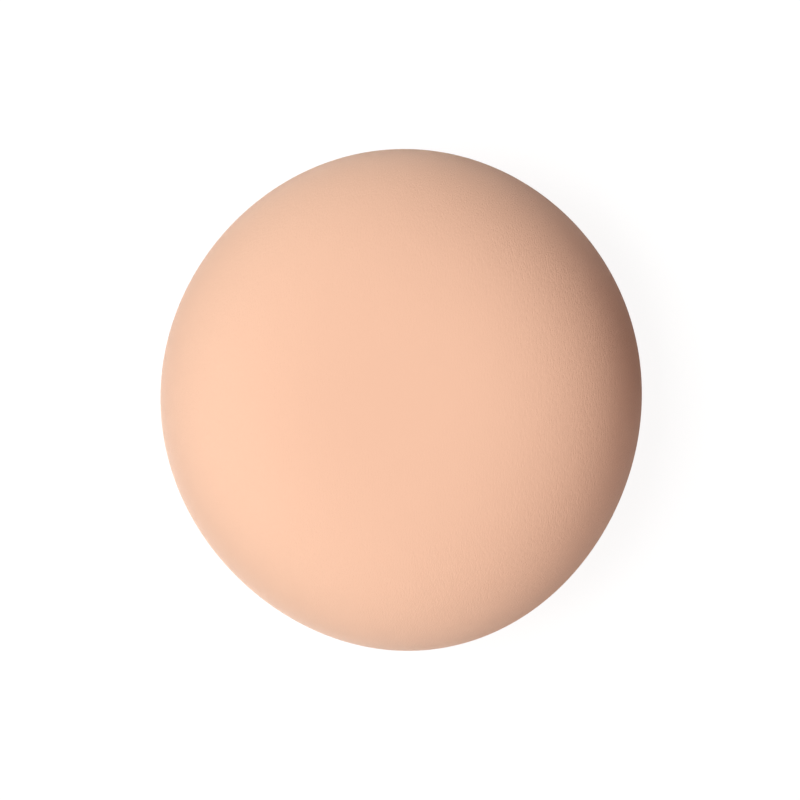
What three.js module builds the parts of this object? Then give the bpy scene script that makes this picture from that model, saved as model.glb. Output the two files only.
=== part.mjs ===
// Powder puff: two velour panels sewn over a moulded sponge, with a satin ribbon across the back for the fingers.
// It lies face up. +X runs along the ribbon, +Y along the longer way of the face, +Z out of the face.
// The origin is the middle of the ribbon's underside, which lies level with the back's rim. Sizes are in millimetres.

import * as THREE from 'three';

// Driving dimensions of the cover
const PUFF_LENGTH = 60; // the longer way across the face
const PUFF_WIDTH = 57.4; // along the ribbon, which draws the puff in a little
const FACE_RISE = 16; // crown of the face above the widest line
const WIDEST_HEIGHT = 9; // widest line above what the puff lies on
const CROWN_POWER = 3.8; // 2 is a plain dome, and more is a flatter middle with a rounder edge
const CLOTH = 0.8; // velour and its pile
const HEM_DROP = 3; // how far the face panel comes down past the widest line
const HEM_TUCK = 1.8; // how far its hem rolls in there
const EDGE_DROP = 0.3; // the back panel's edge below the widest line

// Driving dimensions of the hollow back
const RIM_INSET = 7; // the lowest ring of the back, inside the outline
const HOLLOW_DEPTH = 7; // how far the hollow rises above the rim, as room for the fingers
const HOLLOW_POWER = 4; // how flat the roof of the hollow is

// Driving dimensions of the ribbon and the threads
const RIBBON_WIDTH = 14;
const RIBBON_THICKNESS = 0.35;
const RIBBON_TUCK = 1.2; // length of each end that is caught in the seam
const DENT_MARGIN = 2; // how far the dents that the ribbon draws into the rim reach past its edges
const DENT_EASE = 5; // over this width each dent rises back to the rim
const THREAD_DIAMETER = 0.3;
const STITCH_LENGTH = 3;
const STITCH_DEPTH = 0.9; // rise and fall of the seam's stitches
const CLOSING_LENGTH = 26; // gap through which the cover was turned and filled
const CLOSING_STITCH_LENGTH = 2;
const CLOSING_STITCH_DEPTH = 1.2;

// Room between pieces that touch on the real puff
const CLEARANCE = 0.3;

// Steps of the curves
const AROUND_STEPS = 48;
const CROWN_STEPS = 10;
const HEM_STEPS = 3;
const SIDE_STEPS = 5;
const HOLLOW_STEPS = 7;
const RIBBON_ACROSS_STEPS = 6;
const STITCH_STEPS = 4;
const THREAD_SIDES = 5;

// Places that several pieces share, as radii on the longer way and heights
const outlineRadius = PUFF_LENGTH / 2;
const oval = PUFF_WIDTH / PUFF_LENGTH;
const hemHeight = WIDEST_HEIGHT - HEM_DROP;
const hemRadius = outlineRadius - HEM_TUCK;
const seamGap = RIBBON_THICKNESS + 2 * CLEARANCE;
const edgeRadius = hemRadius - CLOTH - seamGap;
const edgeHeight = WIDEST_HEIGHT - EDGE_DROP;
const rimRadius = outlineRadius - RIM_INSET;
const dentHeight = RIBBON_THICKNESS + CLEARANCE;
const seamRadius = edgeRadius + seamGap / 2;

// The face's dome, from its widest line up to the middle of the crown
function crownCurve(inset) {
  const points = [];
  for (let i = 0; i < CROWN_STEPS; i += 1) {
    const turn = (i / CROWN_STEPS) * (Math.PI / 2);
    const radius = (outlineRadius - inset) * Math.cos(turn) ** (2 / CROWN_POWER);
    points.push(new THREE.Vector2(radius, WIDEST_HEIGHT + (FACE_RISE - inset) * Math.sin(turn)));
  }
  points.push(new THREE.Vector2(0, WIDEST_HEIGHT + FACE_RISE - inset));
  return points;
}

// The face panel's edge below the widest line, from its hem up
function hemCurve(inset) {
  const points = [];
  for (let i = HEM_STEPS; i > 0; i -= 1) {
    const down = i / HEM_STEPS;
    const radius = outlineRadius - inset - HEM_TUCK * down ** 2;
    points.push(new THREE.Vector2(radius, WIDEST_HEIGHT - HEM_DROP * down));
  }
  return points;
}

// A point on the back's side: turn 0 is the panel's edge, and a quarter turn is the rim, the lowest ring
function sidePoint(turn, inset, rimHeight) {
  return new THREE.Vector2(
    rimRadius + (edgeRadius - rimRadius - inset) * Math.cos(turn),
    edgeHeight - (edgeHeight - rimHeight - inset) * Math.sin(turn),
  );
}

// The back, from the middle of its hollow out to the rim and up the side to the panel's edge
function backCurve(inset) {
  const points = [];
  for (let i = 0; i < HOLLOW_STEPS; i += 1) {
    const out = i / HOLLOW_STEPS;
    const height = HOLLOW_DEPTH * (1 - out ** HOLLOW_POWER) ** 2;
    points.push(new THREE.Vector2(rimRadius * out, inset + height));
  }
  for (let i = SIDE_STEPS; i >= 0; i -= 1) {
    points.push(sidePoint((i / SIDE_STEPS) * (Math.PI / 2), inset, 0));
  }
  return points;
}

// Turns a profile about the middle of the puff and draws it in to the oval outline
function turned(profile) {
  const geometry = new THREE.LatheGeometry(profile, AROUND_STEPS);
  geometry.rotateX(Math.PI / 2);
  geometry.scale(oval, 1, 1);
  return geometry;
}

// Raises the back where the ribbon passes under its rim, in step with the height up to the panel's edge
function dented(geometry) {
  const position = geometry.getAttribute('position');
  for (let i = 0; i < position.count; i += 1) {
    const height = position.getZ(i);
    const beside = Math.abs(position.getY(i)) - RIBBON_WIDTH / 2 - DENT_MARGIN;
    const share = 1 - THREE.MathUtils.smoothstep(beside, 0, DENT_EASE);
    position.setZ(i, height + share * dentHeight * Math.max(1 - height / edgeHeight, 0));
  }
  return geometry;
}

function facePanel() {
  const inside = [...hemCurve(CLOTH), ...crownCurve(CLOTH)].reverse();
  const outside = [...hemCurve(0), ...crownCurve(0)];
  return turned([...inside, ...outside]);
}

function backPanel() {
  const outside = backCurve(0);
  const inside = backCurve(CLOTH).reverse();
  return dented(turned([...outside, ...inside]));
}

// The sponge fills both panels, with a ledge that sits over the back panel's edge
function spongeCore() {
  const inset = CLOTH + CLEARANCE;
  const ledge = new THREE.Vector2(edgeRadius - inset, edgeHeight + CLEARANCE);
  return dented(turned([...backCurve(inset), ledge, ...crownCurve(inset)]));
}

// One skin of the ribbon, from the tucked end on the left, under the back, to the one on the right
function ribbonSkin(offset) {
  const tuckHeight = hemHeight + RIBBON_TUCK;
  const tuckTurn = Math.asin((edgeHeight - tuckHeight) / (edgeHeight - dentHeight + offset));
  const right = [];
  for (let i = SIDE_STEPS; i >= 0; i -= 1) {
    const turn = tuckTurn + (i / SIDE_STEPS) * (Math.PI / 2 - tuckTurn);
    right.push(sidePoint(turn, -offset, dentHeight));
  }
  const left = right.map((point) => new THREE.Vector2(-point.x, point.y)).reverse();
  return [...left, ...right];
}

// The ribbon's edge-on outline is drawn out to its width, and its ends then follow the round of the puff
function fingerRibbon() {
  const under = ribbonSkin(CLEARANCE + RIBBON_THICKNESS);
  const over = ribbonSkin(CLEARANCE).reverse();
  const geometry = new THREE.ExtrudeGeometry(new THREE.Shape([...under, ...over]), {
    depth: RIBBON_WIDTH,
    steps: RIBBON_ACROSS_STEPS,
    bevelEnabled: false,
  });
  geometry.translate(0, 0, -RIBBON_WIDTH / 2);
  geometry.rotateX(Math.PI / 2);
  const position = geometry.getAttribute('position');
  for (let i = 0; i < position.count; i += 1) {
    const radius = Math.abs(position.getX(i));
    const round = Math.max(radius, rimRadius);
    const chord = Math.sqrt(round ** 2 - position.getY(i) ** 2);
    position.setX(i, (Math.sign(position.getX(i)) * oval * radius * chord) / round);
  }
  return geometry;
}

// The thread's line in the seam: stitches that rise and fall as they go round
class StitchLine extends THREE.Curve {
  constructor(middleHeight, depth, stitches, start, sweep) {
    super();
    Object.assign(this, { middleHeight, depth, stitches, start, sweep });
  }

  getPoint(along, target = new THREE.Vector3()) {
    const angle = this.start + along * this.sweep;
    const wave = Math.sin(along * this.stitches * 2 * Math.PI);
    return target.set(
      oval * seamRadius * Math.cos(angle),
      seamRadius * Math.sin(angle),
      this.middleHeight + (this.depth / 2) * wave,
    );
  }
}

// The seam's thread runs all the way round, above the ends of the ribbon
function seamThread() {
  const middleHeight = edgeHeight - (STITCH_DEPTH + THREAD_DIAMETER) / 2;
  const stitches = Math.round((2 * Math.PI * seamRadius) / STITCH_LENGTH);
  const line = new StitchLine(middleHeight, STITCH_DEPTH, stitches, 0, 2 * Math.PI);
  return new THREE.TubeGeometry(line, stitches * STITCH_STEPS, THREAD_DIAMETER / 2, THREAD_SIDES, true);
}

// The closing thread lies in the mouth of the seam, in the middle of its -Y side
function closingThread() {
  const sweep = CLOSING_LENGTH / seamRadius;
  const stitches = Math.round(CLOSING_LENGTH / CLOSING_STITCH_LENGTH);
  const line = new StitchLine(hemHeight, CLOSING_STITCH_DEPTH, stitches, -Math.PI / 2 - sweep / 2, sweep);
  const section = [];
  for (let i = 0; i < THREAD_SIDES; i += 1) {
    const turn = (i / THREAD_SIDES) * 2 * Math.PI;
    section.push(new THREE.Vector2(Math.cos(turn), Math.sin(turn)).multiplyScalar(THREAD_DIAMETER / 2));
  }
  return new THREE.ExtrudeGeometry(new THREE.Shape(section), {
    extrudePath: line,
    steps: stitches * STITCH_STEPS,
    bevelEnabled: false,
  });
}

function piece(name, geometry, color, roughness) {
  const mesh = new THREE.Mesh(geometry, new THREE.MeshStandardMaterial({ color, roughness, metalness: 0 }));
  mesh.name = name;
  return mesh;
}

const puff = new THREE.Group();
puff.add(
  piece('face_panel', facePanel(), '#f6c4a7', 0.95),
  piece('back_panel', backPanel(), '#f2bfa2', 0.95),
  piece('sponge_core', spongeCore(), '#f3e7d8', 1),
  piece('finger_ribbon', fingerRibbon(), '#f0b999', 0.35),
  piece('seam_thread', seamThread(), '#e9b295', 0.7),
  piece('closing_thread', closingThread(), '#e9b295', 0.7),
);

export default puff;
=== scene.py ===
import math

import bmesh
import bpy
from mathutils import Matrix, Vector, noise


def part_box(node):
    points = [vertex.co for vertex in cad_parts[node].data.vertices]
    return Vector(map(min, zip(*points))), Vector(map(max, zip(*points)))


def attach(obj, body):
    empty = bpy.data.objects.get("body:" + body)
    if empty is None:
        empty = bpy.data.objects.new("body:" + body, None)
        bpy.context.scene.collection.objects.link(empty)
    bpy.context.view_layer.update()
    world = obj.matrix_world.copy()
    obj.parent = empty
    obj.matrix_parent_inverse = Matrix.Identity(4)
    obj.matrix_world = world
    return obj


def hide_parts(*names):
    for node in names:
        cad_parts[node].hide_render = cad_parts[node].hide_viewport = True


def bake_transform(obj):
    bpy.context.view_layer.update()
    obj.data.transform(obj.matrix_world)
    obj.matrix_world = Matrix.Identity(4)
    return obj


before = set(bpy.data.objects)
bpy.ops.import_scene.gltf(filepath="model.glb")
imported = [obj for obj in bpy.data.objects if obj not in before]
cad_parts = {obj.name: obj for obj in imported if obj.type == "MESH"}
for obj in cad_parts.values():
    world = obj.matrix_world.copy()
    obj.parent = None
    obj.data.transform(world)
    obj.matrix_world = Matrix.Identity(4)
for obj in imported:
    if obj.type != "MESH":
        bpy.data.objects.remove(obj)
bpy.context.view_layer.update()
scene = bpy.context.scene

# The photograph looks straight down on the face of the puff from well back, with its long way upright.
# The picture is square, and the puff is a little right of the middle of it and a little above.
MM = 0.001
PICTURE_PIXELS = 800
PUFF_PIXELS_TALL = 502.4
PUFF_MIDDLE_PIXELS = (402.4, 398.9)
LENS_MM = 135
SENSOR_MM = 36
WIDEST_HEIGHT = 9 * MM
face_low, face_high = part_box("face_panel")
pixel = (face_high.y - face_low.y) / PUFF_PIXELS_TALL

camera_data = bpy.data.cameras.new("photo_camera")
camera_data.lens = LENS_MM
camera_data.sensor_width = SENSOR_MM
camera = bpy.data.objects.new("photo_camera", camera_data)
scene.collection.objects.link(camera)
camera.location = (
    (PICTURE_PIXELS / 2 - PUFF_MIDDLE_PIXELS[0]) * pixel,
    (PUFF_MIDDLE_PIXELS[1] - PICTURE_PIXELS / 2) * pixel,
    WIDEST_HEIGHT + PICTURE_PIXELS * pixel * LENS_MM / SENSOR_MM,
)
scene.camera = camera

# The sponge is one moulding of soft open-celled foam, with a crowned face, a rounded side and a hollow in
# its back for the fingers. It is pushed into the cover through a gap in the seam, and the cover is drawn
# tight on it.
OUTLINE_RADIUS = 29.82 * MM
OUTLINE_OVAL = 28.61 / 29.82
THREE_SIDED = 0.0066
THREE_SIDED_TURN = math.radians(143)
FOUR_SIDED = 0.0038
FOUR_SIDED_TURN = math.radians(35)
CROWN_POWER = 3.8
RIM_RADIUS = 23 * MM
BULGE_RADIUS = 27.4 * MM
BULGE_HEIGHT = 4.5 * MM
TUCK_IN = 1 * MM
TUCK_RISE = 1.3 * MM
EDGE_HEIGHT = 8.4 * MM
HOLLOW_DEPTH = 7 * MM
HOLLOW_POWER = 4
DENT_DEPTH = 0.4 * MM
DENT_MARGIN = 1 * MM
DENT_EASE = 5 * MM
DRAW_IN = 0.4 * MM
DRAW_EASE = 2 * MM
DRAW_FOOT = 1 * MM
DRAW_RISE = 3 * MM
CLOTH = 0.5 * MM
SPONGE_INSET = 0.9 * MM
LEDGE_RISE = 0.2 * MM
SPONGE_TURNS = 96
SPONGE_HOLLOW_STEPS = 24
SPONGE_SIDE_STEPS = 10
SPONGE_TUCK_STEPS = 6
SPONGE_DOME_STEPS = 30
MERGE_DISTANCE = 0.01 * MM
CELL_SIZE = 0.5 * MM
CELL_DEPTH = 0.15 * MM
CELL_STRENGTH = 0.6
FOAM_PATCH = 6 * MM
FOAM_PALE = (0.92, 0.83, 0.71, 1)
FOAM_DULL = (0.86, 0.76, 0.64, 1)
# The deep colour is painted shade in the hollows of the cells.
FOAM_PORE_SHADE = (0.62, 0.51, 0.4, 1)
crown_height = face_high.z
hem_height = face_low.z
ribbon_half_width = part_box("finger_ribbon")[1].y


def dome_line(inset, steps):
    """The face from its widest line up to the crown, as (radius, height) points."""
    full_rise = crown_height - inset - WIDEST_HEIGHT
    points = []
    for step in range(steps + 1):
        out = math.cos(math.radians(90 * step / steps))
        rise = math.sqrt(1 - out**CROWN_POWER)
        points.append(((OUTLINE_RADIUS - inset) * out, WIDEST_HEIGHT + full_rise * rise))
    return points


def hollow_line(inset, steps):
    """The hollow in the back, from its middle out to the rim that the puff lies on."""
    points = []
    for step in range(steps + 1):
        out = step / steps
        points.append((RIM_RADIUS * out, inset + HOLLOW_DEPTH * (1 - out**HOLLOW_POWER) ** 2))
    return points


def side_line(inset, steps):
    """The side of the back, from just past the rim up to where it bulges most."""
    points = []
    for step in range(1, steps + 1):
        turn = math.radians(90 * step / steps)
        radius = RIM_RADIUS + (BULGE_RADIUS - inset - RIM_RADIUS) * math.sin(turn)
        points.append((radius, BULGE_HEIGHT - (BULGE_HEIGHT - inset) * math.cos(turn)))
    return points


def tuck_line(inset, steps):
    """The back above its bulge, where it turns in to the seam before it goes up inside the face panel."""
    points = []
    for step in range(1, steps + 1):
        turn = math.radians(90 * step / steps)
        radius = BULGE_RADIUS - inset - TUCK_IN * (1 - math.cos(turn))
        points.append((radius, BULGE_HEIGHT + TUCK_RISE * math.sin(turn)))
    return points


def on_outline(place):
    """Draws a point in from a round puff to the oval and slightly uneven outline of a sewn one."""
    angle = math.atan2(place.y, place.x)
    uneven = 1 + THREE_SIDED * math.cos(3 * angle - THREE_SIDED_TURN)
    uneven += FOUR_SIDED * math.cos(4 * angle - FOUR_SIDED_TURN)
    return Vector((place.x * OUTLINE_OVAL * uneven, place.y * uneven, place.z))


def eased(share):
    """0 up to 0 and 1 from 1 on, with a smooth rise between."""
    share = min(max(share, 0), 1)
    return share * share * (3 - 2 * share)


def dented(place):
    """Moves a point of the back to where the ribbon draws it: the rim is lifted and the side drawn in."""
    beside = abs(place.y) - ribbon_half_width - DENT_MARGIN
    pull = 1 - eased(beside / DENT_EASE)
    lift = DENT_DEPTH * pull * max(1 - place.z / hem_height, 0)
    out = math.hypot(place.x, place.y)
    drawn = DRAW_IN * pull * eased((out - RIM_RADIUS) / DRAW_EASE)
    drawn *= eased((place.z - DRAW_FOOT) / DRAW_RISE)
    inwards = -drawn / out if out else 0
    return place + Vector((place.x * inwards, place.y * inwards, lift))


def turned(profile, steps):
    """A mesh of a profile of (radius, height) points, turned once round the puff's middle."""
    made = bmesh.new()
    chain = [made.verts.new((radius, 0, height)) for radius, height in profile]
    links = [made.edges.new(pair) for pair in zip(chain, chain[1:])]
    bmesh.ops.spin(
        made,
        geom=chain + links,
        axis=(0, 0, 1),
        cent=(0, 0, 0),
        angle=2 * math.pi,
        steps=steps,
        use_merge=True,
    )
    bmesh.ops.remove_doubles(made, verts=made.verts, dist=MERGE_DISTANCE)
    bmesh.ops.recalc_face_normals(made, faces=made.faces)
    for vert in made.verts:
        vert.co = on_outline(vert.co)
    return made


def finished(made, name, material):
    """Puts a mesh into the scene as a smooth piece of one material."""
    mesh = bpy.data.meshes.new(name)
    made.to_mesh(mesh)
    made.free()
    mesh.polygons.foreach_set("use_smooth", [True] * len(mesh.polygons))
    mesh.materials.append(material)
    piece = bpy.data.objects.new(name, mesh)
    scene.collection.objects.link(piece)
    return piece


class Wire:
    """An output in a material's node tree. Sums written with it add Math nodes to the tree."""

    def __init__(self, tree, socket=None):
        self.tree = tree
        self.socket = socket

    def node(self, kind, settings, inputs, output=0):
        """Adds a node, with its settings and then the values or links of its sockets."""
        made = self.tree.nodes.new("ShaderNode" + kind)
        for name, value in settings.items():
            setattr(made, name, value)
        for name, value in inputs.items():
            if isinstance(value, Wire):
                self.tree.links.new(value.socket, made.inputs[name])
            else:
                made.inputs[name].default_value = value
        return Wire(self.tree, made.outputs[output] if made.outputs else None)

    def sum(self, operation, first, second):
        return self.node("Math", {"operation": operation}, {0: first, 1: second})

    def __add__(self, other):
        return self.sum("ADD", self, other)

    def __radd__(self, other):
        return self.sum("ADD", other, self)

    def __sub__(self, other):
        return self.sum("SUBTRACT", self, other)

    def __rsub__(self, other):
        return self.sum("SUBTRACT", other, self)

    def __mul__(self, other):
        return self.sum("MULTIPLY", self, other)

    def __rmul__(self, other):
        return self.sum("MULTIPLY", other, self)

    def grain(self, place, size, stretch=(1, 1, 1), detail=2.0, roughness=0.5):
        """Soft noise with specks of about this size, longer along an axis whose stretch is over 1."""
        scale = tuple(1 / (size * along) for along in stretch)
        spread = self.node("Mapping", {}, {"Vector": place, "Scale": scale})
        specks = {"Vector": spread, "Scale": 1.0, "Detail": detail, "Roughness": roughness}
        return self.node("TexNoise", {}, specks)

    def mixed(self, share, first, second):
        """A colour between two colours."""
        return self.node("Mix", {"data_type": "RGBA"}, {0: share, 6: first, 7: second}, 2)

    def bumped(self, height, depth, strength=1.0):
        return self.node("Bump", {}, {"Height": height, "Distance": depth, "Strength": strength})

    def surfaced(self, inputs):
        """Ends the material in one Principled surface."""
        surface = self.node("BsdfPrincipled", {}, inputs)
        self.node("OutputMaterial", {}, {"Surface": surface})


def new_material(name):
    """A material with an empty node tree, and the wire that adds nodes to it."""
    material = bpy.data.materials.new(name)
    material.use_nodes = True
    material.node_tree.nodes.clear()
    return material, Wire(material.node_tree)


def sponge_foam():
    """Fine open cells, with painted shade deeper in colour in their hollows, on foam that is paler in
    patches.
    """
    material, wire = new_material("sponge_foam")
    place = wire.node("TexCoord", {}, {}, "Object")
    cells = wire.node("TexVoronoi", {}, {"Vector": place, "Scale": 1 / CELL_SIZE}, "Distance")
    pale = wire.mixed(wire.grain(place, FOAM_PATCH), FOAM_DULL, FOAM_PALE)
    # Painted shade: each cell is deeper in colour towards its middle, where its hollow is lowest.
    colour = wire.mixed(cells, FOAM_PORE_SHADE, pale)
    bump = wire.bumped(cells, CELL_DEPTH, CELL_STRENGTH)
    wire.surfaced({"Base Color": colour, "Roughness": 0.95, "Normal": bump, "Specular IOR Level": 0.2})
    return material


sponge_under = hollow_line(SPONGE_INSET, SPONGE_HOLLOW_STEPS)
sponge_under += side_line(SPONGE_INSET, SPONGE_SIDE_STEPS)
sponge_under += tuck_line(SPONGE_INSET, SPONGE_TUCK_STEPS)
sponge_ledge = (sponge_under[-1][0], EDGE_HEIGHT + LEDGE_RISE)
sponge_over = dome_line(SPONGE_INSET, SPONGE_DOME_STEPS)
sponge_mesh = turned(sponge_under + [sponge_ledge] + sponge_over, SPONGE_TURNS)
for vert in sponge_mesh.verts:
    vert.co = dented(vert.co)
sponge = finished(sponge_mesh, "sponge_filling", sponge_foam())
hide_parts("sponge_core")
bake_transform(sponge)

# The back is a disc of short-piled velour, drawn into the sponge's hollow and over its rim. Its edge goes
# up inside the face panel and is sewn there, and the thread draws the cloth under the seam into small
# gathers.
PANEL_TURNS = 288
HOLLOW_STEPS = 30
SIDE_STEPS = 16
TUCK_STEPS = 8
GATHER_WIDTH = 2.2 * MM
GATHER_DEPTH = 0.55 * MM
FOLD_LENGTH = 4 * GATHER_WIDTH
GATHER_EASE = 0.15
GATHER_LIMIT = 0.35 * MM
GATHER_SCALE = 10
GATHER_FRAMES = 20
GATHER_PRESSURE = 4
CLOTH_QUALITY = 6
CLOTH_BENDING = 0.1
PAST_RIM = 1.5 * MM
PAST_RIM_FADE = 1.5 * MM
PAST_RIBBON = 0.5 * MM
PAST_RIBBON_FADE = 2.5 * MM
GATHER_FOOT = 1.5 * MM
GATHER_FOOT_FADE = 2.5 * MM
GATHER_TOP = 5.2 * MM
GATHER_TOP_FADE = 0.9 * MM
BACK_COLOUR = (0.88, 0.52, 0.36, 1)
PILE_SIZE = 0.2 * MM
PILE_STREAK = 3.8
PILE_DETAIL = 4.0
PILE_FINE_SHARE = 0.8
PILE_DEPTH = 0.065 * MM
# The pile's two tones are painted light and shade on its relief, and random tone in its tufts.
PILE_PALE_AND_LIT = 1.01
PILE_DARK_AND_SHADED = 0.99
TUFT_SIZE = 0.5 * MM
TUFT_STREAK = 1.6
TUFT_SHARE = 0.3
CLOSED_RADIUS = 6 * MM
CLOSED_PILE = 0.25
OPEN_RADIUS = 25 * MM
OPEN_PILE = 1.1


def settled(made, slack):
    """Lets the cloth of a panel swell and settle where slack is over 0, and holds it where slack is 0.
    Only that band of the panel is run, on an enlarged copy, and its moves are then brought back."""
    made.verts.index_update()
    home = made.verts.layers.int.new("home")
    for vert in made.verts:
        vert[home] = vert.index
    band = made.copy()
    firm = [face for face in band.faces if not any(slack(vert.co) for vert in face.verts)]
    bmesh.ops.delete(band, geom=firm, context="FACES")
    band_home = band.verts.layers.int["home"]
    homes = [vert[band_home] for vert in band.verts]
    made.verts.layers.int.remove(home)
    mesh = bpy.data.meshes.new("cloth_trial")
    band.to_mesh(mesh)
    band.free()
    mesh.transform(Matrix.Scale(GATHER_SCALE, 4))
    trial = bpy.data.objects.new("cloth_trial", mesh)
    scene.collection.objects.link(trial)
    made.verts.ensure_lookup_table()
    starts = [made.verts[index].co.copy() for index in homes]
    held_group = trial.vertex_groups.new(name="held")
    slack_group = trial.vertex_groups.new(name="slack")
    for index, start in enumerate(starts):
        held_group.add([index], 1 - slack(start), "REPLACE")
        slack_group.add([index], slack(start), "REPLACE")
    cloth = trial.modifiers.new("cloth", "CLOTH")
    cloth.settings.quality = CLOTH_QUALITY
    cloth.settings.bending_stiffness = CLOTH_BENDING
    cloth.settings.use_pressure = True
    cloth.settings.uniform_pressure_force = GATHER_PRESSURE
    cloth.settings.effector_weights.gravity = 0
    cloth.settings.vertex_group_mass = "held"
    cloth.settings.vertex_group_shrink = "slack"
    cloth.settings.shrink_min = 0
    cloth.settings.shrink_max = -GATHER_EASE
    cloth.point_cache.frame_end = GATHER_FRAMES
    for step in range(1, GATHER_FRAMES + 1):
        scene.frame_set(step)
    shaped = trial.evaluated_get(bpy.context.evaluated_depsgraph_get())
    for index, start in enumerate(starts):
        move = shaped.data.vertices[index].co / GATHER_SCALE - start
        if move.length > GATHER_LIMIT:
            move *= GATHER_LIMIT / move.length
        made.verts[homes[index]].co = start + move
    scene.frame_set(1)
    bpy.data.objects.remove(trial)
    bpy.data.meshes.remove(mesh)


def gathered(made, slack):
    """Draws up a panel into folds where slack is over 0, and lets them settle."""
    made.normal_update()
    for vert in made.verts:
        angle = math.atan2(vert.co.y, vert.co.x)
        around = Vector((math.cos(angle), math.sin(angle), 0)) * OUTLINE_RADIUS / GATHER_WIDTH
        fold = noise.noise(around + Vector((0, 0, vert.co.z / FOLD_LENGTH)))
        vert.co += vert.normal * GATHER_DEPTH * fold * slack(vert.co)
    settled(made, slack)


def toned(colour, share):
    """A lighter or darker tone of a colour."""
    return tuple(min(share * part, 1) for part in colour[:3]) + (1,)


def velour(name, colour):
    """Short upright pile: matt, pale where it is seen from the side, and finely streaked along the puff.
    Its colour has painted light and shade, lighter on the pile's high spots and darker in its low ones,
    with tufts of random tone.
    It lies closed on the flat middle of a panel, and opens where the cloth bends over the edge."""
    material, wire = new_material(name)
    place = wire.node("TexCoord", {}, {}, "Object")
    level = wire.node("VectorMath", {"operation": "MULTIPLY"}, {0: place, 1: (1, 1, 0)})
    out = wire.node("VectorMath", {"operation": "LENGTH"}, {0: level}, "Value")
    opened = wire.node(
        "MapRange",
        {},
        {
            "Value": out,
            "From Min": CLOSED_RADIUS,
            "From Max": OPEN_RADIUS,
            "To Min": CLOSED_PILE,
            "To Max": OPEN_PILE,
        },
    )
    pile = wire.grain(place, PILE_SIZE, (1, PILE_STREAK, 1), PILE_DETAIL, PILE_FINE_SHARE)
    tufts = wire.grain(place, TUFT_SIZE, (1, TUFT_STREAK, 1))
    tuft_tone_and_pile_shade = pile * (1 - TUFT_SHARE) + tufts * TUFT_SHARE
    # Painted light and shade: the pile is lighter where its relief is high and darker where it is low, and
    # the tufts add random tone.
    shade = wire.mixed(tuft_tone_and_pile_shade, toned(colour, PILE_DARK_AND_SHADED), toned(colour, PILE_PALE_AND_LIT))
    bump = wire.bumped(pile * opened, PILE_DEPTH)
    wire.surfaced(
        {
            "Base Color": shade,
            "Roughness": 1.0,
            "Normal": bump,
            "Specular IOR Level": 0.1,
            "Sheen Weight": 0.27,
            "Sheen Roughness": 0.45,
            "Sheen Tint": (1, 0.97, 0.94, 1),
        }
    )
    return material


def under_seam(place):
    """1 on the back just under the seam, fading to 0 in the seam, lower down, and where the ribbon lies."""
    out = math.hypot(place.x / OUTLINE_OVAL, place.y)
    outside = eased((out - RIM_RADIUS - PAST_RIM) / PAST_RIM_FADE)
    beside = eased((abs(place.y) - ribbon_half_width - PAST_RIBBON) / PAST_RIBBON_FADE)
    above = eased((place.z - GATHER_FOOT) / GATHER_FOOT_FADE)
    below = 1 - eased((place.z - GATHER_TOP) / GATHER_TOP_FADE)
    return outside * beside * (above * below)


back_line = hollow_line(0, HOLLOW_STEPS) + side_line(0, SIDE_STEPS) + tuck_line(0, TUCK_STEPS)
back_mesh = turned(back_line + [(BULGE_RADIUS - TUCK_IN, EDGE_HEIGHT)], PANEL_TURNS)
for vert in back_mesh.verts:
    vert.co = dented(vert.co)
gathered(back_mesh, under_seam)
back = finished(back_mesh, "velour_back", velour("back_velour", BACK_COLOUR))
back_wall = back.modifiers.new("cloth", "SOLIDIFY")
back_wall.thickness = CLOTH
back_wall.offset = -1
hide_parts("back_panel")
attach(back, "back")

# The ribbon is a woven satin band, laid across the hollow for the fingers to slip under. Each end is turned
# up over the rim and caught in the seam. It is made as two halves that meet in the middle, where it lifts
# most.
RIBBON_THICKNESS = 0.3 * MM
RIBBON_STEPS = 90
RIBBON_ACROSS = 28
RIBBON_FLAT_STEPS = 12
RIBBON_END_HEIGHT = 7 * MM
RIBBON_GAP = 0.05 * MM
RIBBON_CUP = 0.2 * MM
CUP_REACH = 12 * MM
CUP_FADE = 9 * MM
WAVE_LENGTH = 6 * MM
WAVE_SHARE = 0.6
SHARP_EDGE = math.radians(50)
SATIN_COLOUR = (0.87, 0.48, 0.32, 1)
SATIN_DEEP = 0.84
SATIN_DEPTH = 0.02 * MM
SATIN_ROUGHNESS = 0.24
# The weave's own sizes are in millimetres, as its UV map is.
WARP = 0.2
WEFT = 0.35
SELVEDGE = 0.8
SLUB_SIZE = 0.5
SLUB_STREAK = 6
SLUB_SHADE = 0.7
SLUB_RELIEF = 0.5
SLUB_ROUGHNESS = 0.12
WARP_RELIEF = 0.3
SELVEDGE_SHADE = 0.25
# Painted light on the selvedge's ribs and painted shade between them.
SELVEDGE_RIB_SHADE = 0.15
SELVEDGE_ROUGHNESS = 0.25


def ribbon_line():
    """The outside of half the ribbon, seen edge on, from the middle of the back to its end in the seam."""
    inset = -RIBBON_GAP - RIBBON_THICKNESS
    flat = [(RIM_RADIUS * step / RIBBON_FLAT_STEPS, 0) for step in range(RIBBON_FLAT_STEPS)]
    bent = [(RIM_RADIUS, inset)] + side_line(inset, SIDE_STEPS) + tuck_line(inset, TUCK_STEPS)
    bent.append((bent[-1][0], RIBBON_END_HEIGHT))
    drawn = [dented(Vector((out, 0, height))) for out, height in bent]
    return flat + [(place.x, max(place.z, 0)) for place in drawn]


def along_line(points, share):
    """The point at this share of a line's length."""
    lengths = [math.dist(*pair) for pair in zip(points, points[1:])]
    left = share * sum(lengths)
    for (start, end), length in zip(zip(points, points[1:]), lengths):
        if left <= length:
            break
        left -= length
    return tuple(a + (b - a) * min(left / length, 1) for a, b in zip(start, end))


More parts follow.
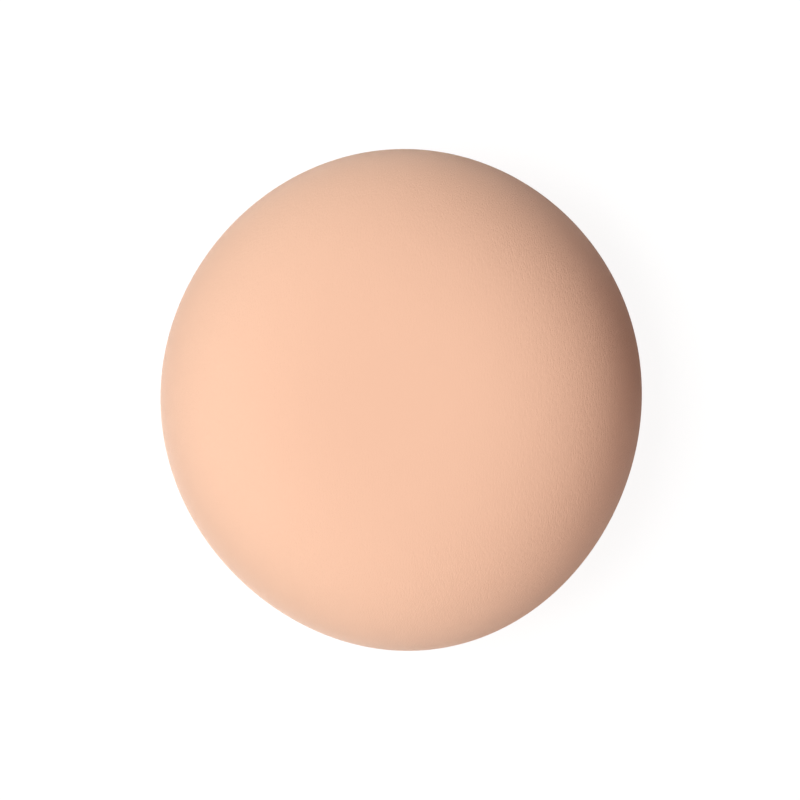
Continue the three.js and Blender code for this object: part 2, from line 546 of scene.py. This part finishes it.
def satin(name, colour):
    """Warp-faced satin: fine lines along the ribbon, a soft gloss, and firm ribbed edges, with painted
    light on the ribs and painted shade between them.
    """
    material, wire = new_material(name)
    weave = wire.node("UVMap", {"uv_map": "weave"}, {})
    along = wire.node("SeparateXYZ", {}, {0: weave}, "X")
    across = wire.node("SeparateXYZ", {}, {0: weave}, "Y")
    warp = wire.node("Math", {"operation": "SINE"}, {0: across * (2 * math.pi / WARP)})
    weft = wire.node("Math", {"operation": "SINE"}, {0: along * (2 * math.pi / WEFT)})
    beside = wire.node("Math", {"operation": "ABSOLUTE"}, {0: across})
    edge = wire.sum("GREATER_THAN", beside, ribbon_half_width / MM - SELVEDGE)
    slub = wire.grain(weave, SLUB_SIZE, (SLUB_STREAK, 1, 1))
    # Painted light and shade on the edges: each rib is lighter on top and darker in the trough between
    # ribs.
    depth = slub * SLUB_SHADE + edge * (SELVEDGE_SHADE - weft * SELVEDGE_RIB_SHADE)
    shade = wire.mixed(depth, colour, toned(colour, SATIN_DEEP))
    bump = wire.bumped(warp * WARP_RELIEF + slub * SLUB_RELIEF + edge * weft, SATIN_DEPTH)
    wire.surfaced(
        {
            "Base Color": shade,
            "Roughness": SATIN_ROUGHNESS + slub * SLUB_ROUGHNESS + edge * SELVEDGE_ROUGHNESS,
            "Normal": bump,
            "Sheen Weight": 0.1,
            "Sheen Roughness": 0.3,
        }
    )
    return material


ribbon_route = ribbon_line()
ribbon_length = sum(math.dist(*pair) for pair in zip(ribbon_route, ribbon_route[1:]))
satin_material = satin("ribbon_satin", SATIN_COLOUR)
for side, name in ((1, "ribbon_right"), (-1, "ribbon_left")):
    # The grid is 1 long and 1 wide about its middle, and each point of it is then laid along the route.
    strip = bmesh.new()
    bmesh.ops.create_grid(strip, x_segments=RIBBON_STEPS, y_segments=RIBBON_ACROSS, size=0.5)
    uv = strip.loops.layers.uv.new("weave")
    for face in strip.faces:
        for loop in face.loops:
            along, across = loop.vert.co.x + 0.5, 2 * loop.vert.co.y
            loop[uv].uv = (side * along * ribbon_length / MM, across * ribbon_half_width / MM)
    for vert in strip.verts:
        out, height = along_line(ribbon_route, vert.co.x + 0.5)
        across = 2 * vert.co.y
        flat = 1 - eased((out - CUP_REACH) / CUP_FADE)
        wave = noise.noise(Vector((side * out, across * ribbon_half_width, 0)) / WAVE_LENGTH)
        height += flat * RIBBON_CUP * (1 - across**2) * (1 + WAVE_SHARE * wave)
        round_puff = max(out, RIM_RADIUS)
        chord = math.sqrt(round_puff**2 - (across * ribbon_half_width) ** 2) / round_puff
        vert.co = on_outline(Vector((side * out * chord, across * ribbon_half_width, height)))
    if side > 0:
        bmesh.ops.reverse_faces(strip, faces=strip.faces)
    strip.normal_update()
    inside = bmesh.ops.extrude_face_region(strip, geom=strip.faces, use_keep_orig=True)["geom"]
    for vert in inside:
        if isinstance(vert, bmesh.types.BMVert):
            vert.co -= vert.normal * RIBBON_THICKNESS
    bmesh.ops.recalc_face_normals(strip, faces=strip.faces)
    ribbon = finished(strip, name, satin_material)
    ribbon.data.set_sharp_from_angle(angle=SHARP_EDGE)
    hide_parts("finger_ribbon")
    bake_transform(ribbon)

# The face is a larger disc of the same velour, the side that takes up the powder. It is drawn over the
# crown of the sponge and round its widest line, and its hem is turned in, gathered and sewn over the edge
# of the back.
ROLL_RADIUS = 0.55 * MM
ROLL_LOW = 5.35 * MM
HEM_WALL_RADIUS = 26.8 * MM
HEM_END_HEIGHT = 7.4 * MM
HEM_STEPS = 8
DOME_STEPS = 44
PAST_ROLL = 27.3 * MM
PAST_ROLL_FADE = 0.8 * MM
HEM_GATHER_TOP = 5.8 * MM
HEM_GATHER_FADE = 2.9 * MM
FACE_COLOUR = (0.88, 0.55, 0.39, 1)


def hem_line(steps):
    """The face below its widest line, from the turned-in end of the hem round its roll and out."""
    roll = HEM_WALL_RADIUS + ROLL_RADIUS
    points = [(HEM_WALL_RADIUS, HEM_END_HEIGHT)]
    for step in range(steps + 1):
        turn = math.radians(90 * (1 - step / steps))
        radius = roll - ROLL_RADIUS * math.sin(turn)
        points.append((radius, ROLL_LOW + ROLL_RADIUS * (1 - math.cos(turn))))
    for step in range(1, 2 * steps):
        turn = math.radians(90 * step / (2 * steps))
        radius = roll + (OUTLINE_RADIUS - roll) * math.sin(turn)
        points.append((radius, WIDEST_HEIGHT - (WIDEST_HEIGHT - ROLL_LOW) * math.cos(turn)))
    return points


def over_seam(place):
    """1 on the face just above the roll of its hem, fading to 0 at the widest line."""
    out = math.hypot(place.x / OUTLINE_OVAL, place.y)
    outside = eased((out - PAST_ROLL) / PAST_ROLL_FADE)
    return outside * (1 - eased((place.z - HEM_GATHER_TOP) / HEM_GATHER_FADE))


face_mesh = turned(hem_line(HEM_STEPS) + dome_line(0, DOME_STEPS), PANEL_TURNS)
gathered(face_mesh, over_seam)
face = finished(face_mesh, "velour_face", velour("face_velour", FACE_COLOUR))
face_wall = face.modifiers.new("cloth", "SOLIDIFY")
face_wall.thickness = CLOTH
face_wall.offset = -1
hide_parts("face_panel")
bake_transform(face)

# Both threads are spun in two plies. The seam's thread goes to and fro between the hem and the back, deep
# in the seam, all the way round, and the closing one is drawn by hand across the gap that the sponge went
# in by.
THREAD_DIAMETER = 0.3 * MM
PLY_RADIUS = THREAD_DIAMETER / 4
PLY_LAY = 0.9 * MM
THREAD_COLOUR = (0.82, 0.45, 0.3, 1)
# The deeper tone is painted shade between the fibres.
THREAD_GAP_SHADE = 0.8
FIBRE_SIZE = 0.08 * MM
FIBRE_DEPTH = 0.01 * MM
SEAM_STITCH = 3 * MM
SEAM_HEIGHT = 7 * MM
SEAM_SWING_OUT = 0.2 * MM
SEAM_SWING_DOWN = 0.45 * MM
POINTS_A_STITCH = 16
CLOSING_STITCH = 2 * MM
CLOSING_LENGTH = 26 * MM
CLOSING_STEPS = 6
CLOSING_ROUNDINGS = 4
seam_radius = (BULGE_RADIUS - TUCK_IN + HEM_WALL_RADIUS) / 2


def sewing_thread(name, colour):
    """Spun fibre, matt, with painted shade deeper in colour between the fibres."""
    material, wire = new_material(name)
    place = wire.node("TexCoord", {}, {}, "Object")
    fibre = wire.grain(place, FIBRE_SIZE)
    # Painted shade: the low places between the fibres are deeper in colour.
    shade = wire.mixed(fibre, toned(colour, THREAD_GAP_SHADE), colour)
    bump = wire.bumped(fibre, FIBRE_DEPTH)
    wire.surfaced({"Base Color": shade, "Roughness": 0.7, "Normal": bump, "Sheen Weight": 0.2})
    return material


def twisted(name, route, closed, material):
    """A thread of two plies, twisted round each other along a route of points."""
    curve = bpy.data.curves.new(name, "CURVE")
    curve.dimensions = "3D"
    curve.bevel_depth = PLY_RADIUS
    curve.bevel_resolution = 1
    curve.use_fill_caps = not closed
    for ply in (0, math.pi):
        spline = curve.splines.new("POLY")
        spline.points.add(len(route) - 1)
        spline.use_cyclic_u = closed
        travelled = 0
        for index, place in enumerate(route):
            before = route[index - 1] if closed or index else place
            after = route[(index + 1) % len(route)] if closed or index + 1 < len(route) else place
            ahead = (after - before).normalized()
            aside = ahead.cross(Vector((0, 0, 1))).normalized()
            above = aside.cross(ahead)
            travelled += (place - before).length if index else 0
            turn = 2 * math.pi * travelled / PLY_LAY + ply
            offset = (aside * math.cos(turn) + above * math.sin(turn)) * PLY_RADIUS
            spline.points[index].co = (*(place + offset), 1)
    trial = bpy.data.objects.new(name, curve)
    mesh = bpy.data.meshes.new_from_object(trial)
    bpy.data.objects.remove(trial)
    bpy.data.curves.remove(curve)
    made = bmesh.new()
    made.from_mesh(mesh)
    bpy.data.meshes.remove(mesh)
    return finished(made, name, material)


def round_the_seam(angle, radius, height):
    """A point at this angle round the puff, drawn in to its outline."""
    return on_outline(Vector((radius * math.cos(angle), radius * math.sin(angle), height)))


thread_material = sewing_thread("sewing_thread", THREAD_COLOUR)
seam_stitches = round(2 * math.pi * seam_radius / SEAM_STITCH)
seam_points = seam_stitches * POINTS_A_STITCH
seam_route = []
for index in range(seam_points):
    turn = 2 * math.pi * index / seam_points
    swing = math.sin(turn * seam_stitches)
    out, height = seam_radius + SEAM_SWING_OUT * swing, SEAM_HEIGHT - SEAM_SWING_DOWN * swing
    seam_route.append(round_the_seam(turn, out, height))
seam = twisted("seam_stitches", seam_route, True, thread_material)
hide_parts("seam_thread")
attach(seam, "back")

# One stitch by hand: how far out and how high each corner is in millimetres, its share of the way to the
# next stitch, the panel whose cloth it is set against, and how far it stands off that cloth, which is
# below 0 where the thread is in the cloth. The update makes the panels ready to be measured.
CLOSING_PATH = (
    (28.4, 5.4, 0, face, -0.3),
    (28.3, 5.4, 0.03, face, 0.15),
    (27.6, 5.2, 0.2, face, 0.15),
    (27.5, 4.9, 0.36, back, 0.15),
    (27.7, 4.3, 0.5, back, 0.15),
    (27.7, 4.1, 0.54, back, -0.3),
    (26.6, 6.3, 0.8, back, 0.2),
)
bpy.context.view_layer.update()
closing_sweep = CLOSING_LENGTH / seam_radius
closing_stitches = round(CLOSING_LENGTH / CLOSING_STITCH)
corners = []
for stitch in range(closing_stitches):
    for out, height, along, panel, lift in CLOSING_PATH:
        turn = -math.pi / 2 + closing_sweep * ((stitch + along) / closing_stitches - 0.5)
        near = round_the_seam(turn, out * MM, height * MM)
        _, spot, normal, _ = panel.closest_point_on_mesh(near)
        corners.append(spot + normal * lift * MM)
closing_route = []
for start, end in zip(corners, corners[1:]):
    closing_route += [start.lerp(end, step / CLOSING_STEPS) for step in range(CLOSING_STEPS)]
closing_route.append(corners[-1])
for _ in range(CLOSING_ROUNDINGS):
    inner = [(a + 2 * b + c) / 4 for a, b, c in zip(closing_route, closing_route[1:], closing_route[2:])]
    closing_route = [closing_route[0], *inner, closing_route[-1]]
closing = twisted("closing_stitches", closing_route, False, thread_material)
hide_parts("closing_thread")
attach(closing, "back")

# The puff is in soft studio light: a softbox high on the left, weaker ones past its top and its foot, a
# little warm light thrown back from the right, and one under the table for looking at the back. Each lamp
# is given its turn round the puff and its rise in degrees, its watts and its colour.
LAMP_DISTANCE = 0.6
LAMP_SIZE = 0.35
LAMPS = {
    "key_softbox": (180, 62, 3.25, (1, 1, 1)),
    "top_softbox": (112, 22, 0.92, (1, 1, 1)),
    "foot_softbox": (268, 25, 1.3, (0.98, 1, 1)),
    "warm_bounce": (345, 45, 0.35, (1, 0.3, 0.12)),
    "under_softbox": (215, -72, 3.9, (1, 1, 1)),
}
for name, (turn, rise, power, colour) in LAMPS.items():
    lamp_data = bpy.data.lights.new(name, "AREA")
    lamp_data.size = LAMP_SIZE
    lamp_data.energy = power
    lamp_data.color = colour
    lamp = bpy.data.objects.new(name, lamp_data)
    flat = LAMP_DISTANCE * math.cos(math.radians(rise))
    place = Vector(
        (
            flat * math.cos(math.radians(turn)),
            flat * math.sin(math.radians(turn)),
            LAMP_DISTANCE * math.sin(math.radians(rise)),
        )
    )
    lamp.location = place
    lamp.rotation_euler = (-place).to_track_quat("-Z", "Y").to_euler()
    scene.collection.objects.link(lamp)

# The puff lies on a plain white table. To the camera the table glows white and takes a faint shadow of the
# puff. To the light it is grey, and black under the puff, which is painted shade. From below it is clear,
# and it holds back no light from the lamp there.
TABLE_DROP = 0.15 * MM
TABLE_RADIUS = 1.5
TABLE_SIDES = 64
NEAR_REACH = 0.06
NEAR_GLOW = 0.9
FAR_REACH = 0.3
FAR_GLOW = 1.0
SHADED_REACH = 0.026
CLEAR_REACH = 0.034
SHADOW_PAINT = (0.15, 0.15, 0.15, 1)
GREY_PAINT = (0.5, 0.5, 0.5, 1)
# Black is painted shade on the table under the puff.
UNDER_PUFF_SHADE = (0, 0, 0, 1)


def seen_straight(wire):
    """1 for what the camera sees, also in a mirror or through glass, and 0 for light on the object."""
    kinds = ("Camera", "Glossy", "Transmission")
    rays = [wire.node("LightPath", {}, {}, f"Is {kind} Ray") for kind in kinds]
    return wire.sum("MAXIMUM", wire.sum("MAXIMUM", rays[0], rays[1]), rays[2])


table_mesh = bmesh.new()
bmesh.ops.create_circle(table_mesh, cap_ends=True, segments=TABLE_SIDES, radius=TABLE_RADIUS)
bmesh.ops.translate(table_mesh, verts=table_mesh.verts, vec=(0, 0, -TABLE_DROP))
table_material, wire = new_material("white_table")
place = wire.node("TexCoord", {}, {}, "Object")
away = wire.node("VectorMath", {"operation": "LENGTH"}, {0: place}, "Value")
far = wire.node("MapRange", {}, {"Value": away, "From Min": NEAR_REACH, "From Max": FAR_REACH})
near_glow = wire.node("Emission", {}, {"Strength": NEAR_GLOW})
far_glow = wire.node("Emission", {}, {"Strength": FAR_GLOW})
glow = wire.node("MixShader", {}, {0: far, 1: near_glow, 2: far_glow})
paint = wire.node("BsdfDiffuse", {}, {"Color": SHADOW_PAINT})
white_top = wire.node("AddShader", {}, {0: glow, 1: paint})
shade_edge = {"From Min": SHADED_REACH, "From Max": CLEAR_REACH}
clear_of_puff = wire.node("MapRange", {}, {"Value": away, **shade_edge})
# Painted shade: to the light the table is black under the puff.
shaded = wire.node("BsdfDiffuse", {}, {"Color": UNDER_PUFF_SHADE})
matt = wire.node("BsdfDiffuse", {}, {"Color": GREY_PAINT})
matt_top = wire.node("MixShader", {}, {0: clear_of_puff, 1: shaded, 2: matt})
top = wire.node("MixShader", {}, {0: seen_straight(wire), 1: matt_top, 2: white_top})
clear = wire.node("BsdfTransparent", {}, {})
under = wire.node("NewGeometry", {}, {}, "Backfacing")
wire.node("OutputMaterial", {}, {"Surface": wire.node("MixShader", {}, {0: under, 1: top, 2: clear})})
table = finished(table_mesh, "white_table", table_material)
table.visible_shadow = False

# The studio round the table is plain white to the camera, so the picture has a white ground. Its own light
# on the puff is faint and slightly warm.
ROOM_COLOUR = (1, 0.9, 0.9, 1)
ROOM_STRENGTH = 0.02
WHITE = (1, 1, 1, 1)
world = bpy.data.worlds.new("studio")
world.use_nodes = True
world.node_tree.nodes.clear()
wire = Wire(world.node_tree)
room = wire.node("Background", {}, {"Color": ROOM_COLOUR, "Strength": ROOM_STRENGTH})
white = wire.node("Background", {}, {"Color": WHITE, "Strength": 1.0})
backdrop = wire.node("MixShader", {}, {0: seen_straight(wire), 1: room, 2: white})
wire.node("OutputWorld", {}, {"Surface": backdrop})
scene.world = world
scene.view_settings.view_transform = "Standard"
